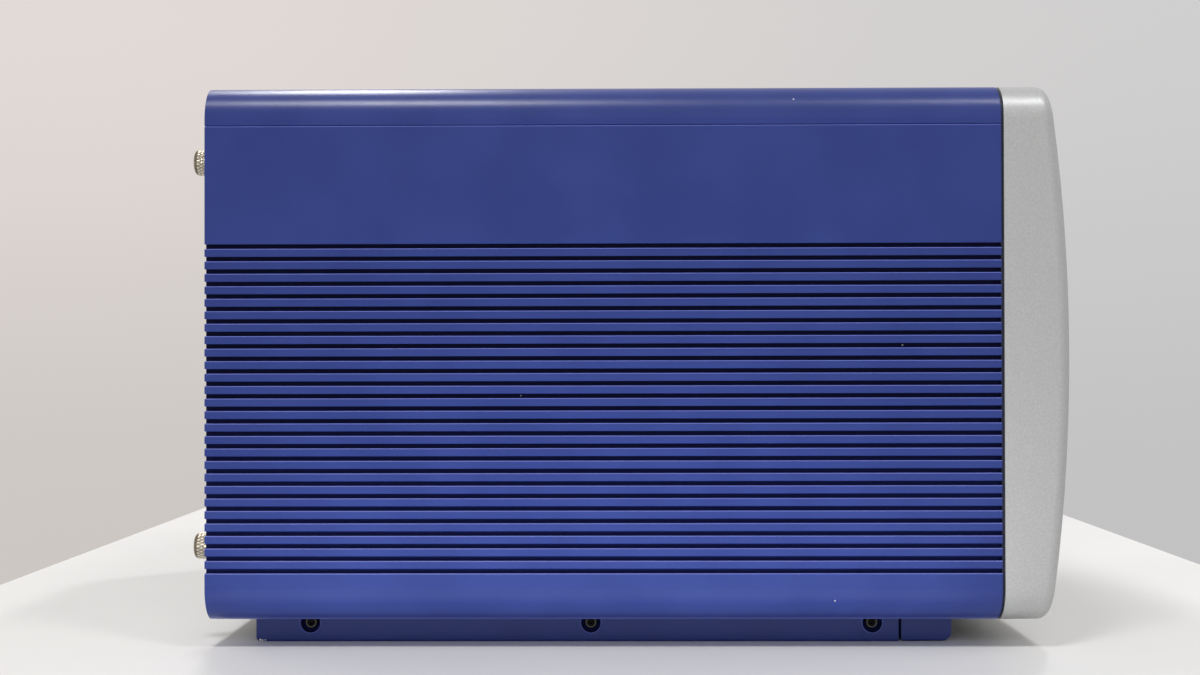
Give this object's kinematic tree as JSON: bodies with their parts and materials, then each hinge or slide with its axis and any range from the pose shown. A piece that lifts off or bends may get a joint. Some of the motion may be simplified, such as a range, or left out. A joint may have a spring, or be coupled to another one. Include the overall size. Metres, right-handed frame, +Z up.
{
  "type": "electrochemical measurement system",
  "caption": "Bench-top instrument case with finned sides, bowed front bezel and foot rails, round a card cage of plug-in measuring modules.",
  "frame": {"origin": "under the middle of the case, on the surface that it stands on", "axes": "+Z up, the front bezel faces -Y, +X to the right seen from the front"},
  "size_m": [0.45, 0.5104, 0.325],
  "materials": {
    "case_blue": "satin powder coat",
    "bezel_silver": "fine metallic paint",
    "gasket_dark": "matt",
    "panel_grey": "satin",
    "plain_aluminium": "mill finish",
    "zinc_steel": "zinc plated",
    "dark_steel": "blackened",
    "nickel": "nickel plated",
    "black_moulding": "moulded",
    "circuit_board": "solder mask",
    "guide_plastic": "moulded",
    "brass": "turned"
  },
  "bodies": {
    "case": {"top_cover": "case_blue", "side_panel_left": "case_blue", "side_panel_right": "case_blue", "foot_rail_left": "case_blue", "foot_rail_right": "case_blue", "front_bezel": "bezel_silver", "bezel_gasket": "gasket_dark", "base_pan": "zinc_steel", "rail_bracket_left": "zinc_steel", "rail_bracket_right": "zinc_steel", "foot_rail_screws": "dark_steel", "tilt_foot_pins": "nickel", "rear_cover": "panel_grey", "blank_panel": "panel_grey", "corner_blocks": "plain_aluminium", "cage_plate_left": "plain_aluminium", "cage_plate_right": "plain_aluminium", "cage_rail_front_upper": "plain_aluminium", "cage_rail_front_lower": "plain_aluminium", "cage_rail_rear_upper": "plain_aluminium", "cage_rail_rear_lower": "plain_aluminium", "power_supply": "plain_aluminium", "fan_housing": "black_moulding", "mains_inlet": "black_moulding", "data_port": "nickel", "earth_socket": "brass", "card_guides": "guide_plastic", "backplane": "circuit_board"},
    "tilt_foot_left": {"tilt_foot_left": "case_blue"},
    "tilt_foot_right": {"tilt_foot_right": "case_blue"},
    "thumbscrew_upper_left": {"thumbscrew_upper_left": "nickel"},
    "thumbscrew_upper_right": {"thumbscrew_upper_right": "nickel"},
    "thumbscrew_lower_left": {"thumbscrew_lower_left": "nickel"},
    "thumbscrew_lower_right": {"thumbscrew_lower_right": "nickel"},
    "fan_rotor": {"fan_rotor": "black_moulding"},
    "fuse_drawer": {"fuse_drawer": "black_moulding"},
    "mains_switch": {"mains_switch": "black_moulding"},
    "module_1": {"module_1_panel": "panel_grey", "module_1_board": "circuit_board", "module_1_sockets": "nickel", "module_1_handles": "black_moulding"},
    "module_2": {"module_2_panel": "panel_grey", "module_2_board": "circuit_board", "module_2_sockets": "nickel", "module_2_handles": "black_moulding"},
    "module_3": {"module_3_panel": "panel_grey", "module_3_board": "circuit_board", "module_3_sockets": "nickel", "module_3_handles": "black_moulding"}
  },
  "joints": [
    {"name": "tilt_foot_left_fold", "type": "hinge", "parent": "case", "child": "tilt_foot_left", "pos_m": [-0.184, -0.1851, 0.013], "axis": [-1, 0, 0], "range_deg": [0, 85]},
    {"name": "thumbscrew_upper_left_turn", "type": "hinge", "parent": "case", "child": "thumbscrew_upper_left", "pos_m": [-0.19496, 0.2374, 0.2835], "axis": [0, 1, 0], "continuous": true},
    {"name": "thumbscrew_lower_left_turn", "type": "hinge", "parent": "case", "child": "thumbscrew_lower_left", "pos_m": [-0.19496, 0.2374, 0.0565], "axis": [0, 1, 0], "continuous": true},
    {"name": "tilt_foot_right_fold", "type": "hinge", "parent": "case", "child": "tilt_foot_right", "pos_m": [0.184, -0.1851, 0.013], "axis": [-1, 0, 0], "range_deg": [0, 85]},
    {"name": "thumbscrew_upper_right_turn", "type": "hinge", "parent": "case", "child": "thumbscrew_upper_right", "pos_m": [0.19496, 0.2374, 0.2835], "axis": [0, 1, 0], "continuous": true},
    {"name": "thumbscrew_lower_right_turn", "type": "hinge", "parent": "case", "child": "thumbscrew_lower_right", "pos_m": [0.19496, 0.2374, 0.0565], "axis": [0, 1, 0], "continuous": true},
    {"name": "fan_spin", "type": "hinge", "parent": "case", "child": "fan_rotor", "pos_m": [0, 0.222, 0.222], "axis": [0, 1, 0], "continuous": true},
    {"name": "mains_switch_rock", "type": "hinge", "parent": "case", "child": "mains_switch", "pos_m": [0.15, 0.2349, 0.1035], "axis": [1, 0, 0], "range_deg": [-18, 0]},
    {"name": "fuse_drawer_slide", "type": "slide", "parent": "case", "child": "fuse_drawer", "axis": [0, 1, 0], "range_m": [0, 0.016]},
    {"name": "module_1_slide", "type": "slide", "parent": "case", "child": "module_1", "axis": [0, -1, 0], "range_m": [0, 0.21]},
    {"name": "module_2_slide", "type": "slide", "parent": "case", "child": "module_2", "axis": [0, -1, 0], "range_m": [0, 0.21]},
    {"name": "module_3_slide", "type": "slide", "parent": "case", "child": "module_3", "axis": [0, -1, 0], "range_m": [0, 0.21]}
  ]
}
